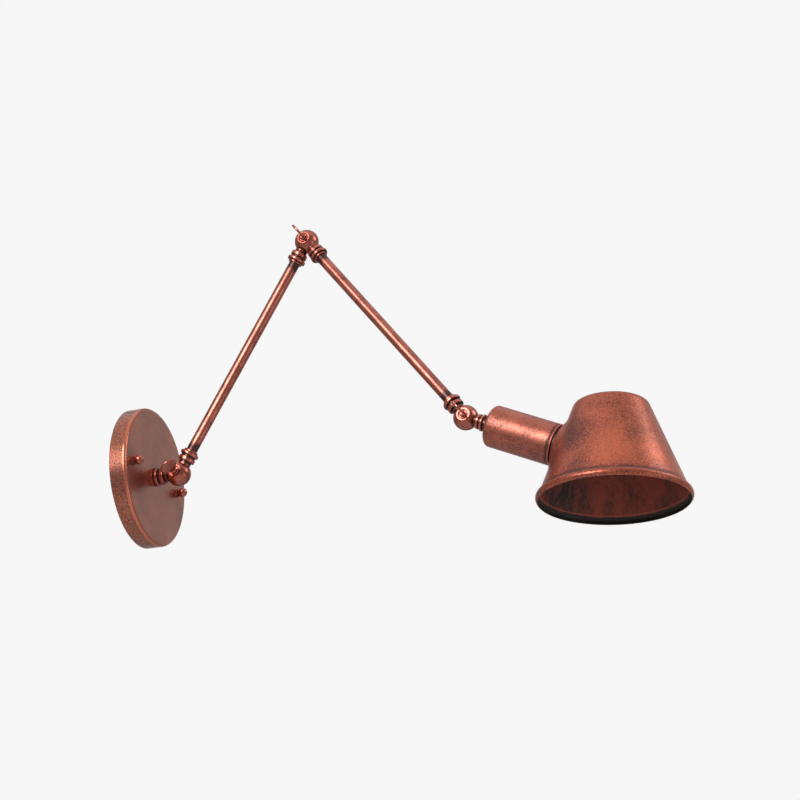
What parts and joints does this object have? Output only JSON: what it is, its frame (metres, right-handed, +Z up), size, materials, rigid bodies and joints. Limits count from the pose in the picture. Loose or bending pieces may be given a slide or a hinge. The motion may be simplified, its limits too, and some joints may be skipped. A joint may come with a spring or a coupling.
{
  "type": "articulating wall lamp",
  "caption": "Articulating wall lamp: round wall canopy, tube arms on ball knuckles clamped by thumb screws, and a cone shade fixed from its side to a cylindrical lamp-holder cup.",
  "frame": {"origin": "centre of the canopy's back, on the wall, midway between the two wall screws", "axes": "+X out of the wall, +Z up; the arms lie in the plane y = 0 and the thumb screws are on the -Y side"},
  "size_m": [0.472, 0.124, 0.2881],
  "materials": {
    "aged_copper_sheet": "satin aged copper plating on spun steel, mottled dark patina",
    "aged_copper_turned": "satin aged copper plating on turned brass",
    "aged_copper_screw": "satin aged copper plating on a cast and turned screw",
    "aged_copper_tube": "satin aged copper plating on steel tube",
    "zinc_steel": "zinc-plated, satin",
    "plain_brass": "plain, satin",
    "friction_fibre": "matte dark fibre",
    "black_phenolic": "moulded phenolic, low gloss"
  },
  "bodies": {
    "wall": {"wall_canopy": "aged_copper_sheet", "mounting_bracket": "zinc_steel", "canopy_studs": "zinc_steel", "cap_nuts": "aged_copper_turned", "earth_screw": "plain_brass", "canopy_nipple": "zinc_steel", "canopy_washer": "zinc_steel", "canopy_locknut": "zinc_steel", "wall_knuckle": "aged_copper_turned", "shoulder_washer": "friction_fibre"},
    "arm_1": {"arm_1_lower_knuckle": "aged_copper_turned", "arm_1_tube": "aged_copper_tube", "arm_1_nipples": "zinc_steel", "arm_1_lock_rings": "aged_copper_turned", "arm_1_upper_knuckle": "aged_copper_turned", "elbow_washer": "friction_fibre"},
    "arm_2": {"arm_2_upper_knuckle": "aged_copper_turned", "arm_2_tube": "aged_copper_tube", "arm_2_nipples": "zinc_steel", "arm_2_lock_rings": "aged_copper_turned", "arm_2_lower_knuckle": "aged_copper_turned", "head_washer": "friction_fibre"},
    "head": {"head_knuckle": "aged_copper_turned", "head_nipple": "zinc_steel", "cup_locknut": "zinc_steel", "holder_cup": "aged_copper_sheet", "holder_cap": "black_phenolic", "holder_body": "black_phenolic", "holder_thread_shell": "plain_brass", "holder_contact": "plain_brass", "holder_terminal_screws": "zinc_steel", "shade_ring": "black_phenolic", "shade": "aged_copper_sheet"},
    "shoulder_screw": {"shoulder_thumb_screw": "aged_copper_screw"},
    "elbow_screw": {"elbow_thumb_screw": "aged_copper_screw"},
    "head_screw": {"head_thumb_screw": "aged_copper_screw"}
  },
  "joints": [
    {"name": "shoulder", "type": "hinge", "parent": "wall", "child": "arm_1", "pos_m": [0.036, 0, 0], "axis": [0, -1, 0], "range_deg": [-154, 35]},
    {"name": "elbow", "type": "hinge", "parent": "arm_1", "child": "arm_2", "pos_m": [0.15435, 0, 0.20012], "axis": [0, -1, 0], "range_deg": [-6, 226]},
    {"name": "head_tilt", "type": "hinge", "parent": "arm_2", "child": "head", "pos_m": [0.29216, 0, 0.01286], "axis": [0, 1, 0], "range_deg": [-86, 143]},
    {"name": "shoulder_screw_turn", "type": "hinge", "parent": "wall", "child": "shoulder_screw", "pos_m": [0.036, 0, 0], "axis": [0, -1, 0], "range_deg": [0, 720]},
    {"name": "elbow_screw_turn", "type": "hinge", "parent": "arm_1", "child": "elbow_screw", "pos_m": [0.15435, 0, 0.20012], "axis": [0, -1, 0], "range_deg": [0, 720]},
    {"name": "head_screw_turn", "type": "hinge", "parent": "arm_2", "child": "head_screw", "pos_m": [0.29216, 0, 0.01286], "axis": [0, -1, 0], "range_deg": [0, 720]}
  ]
}
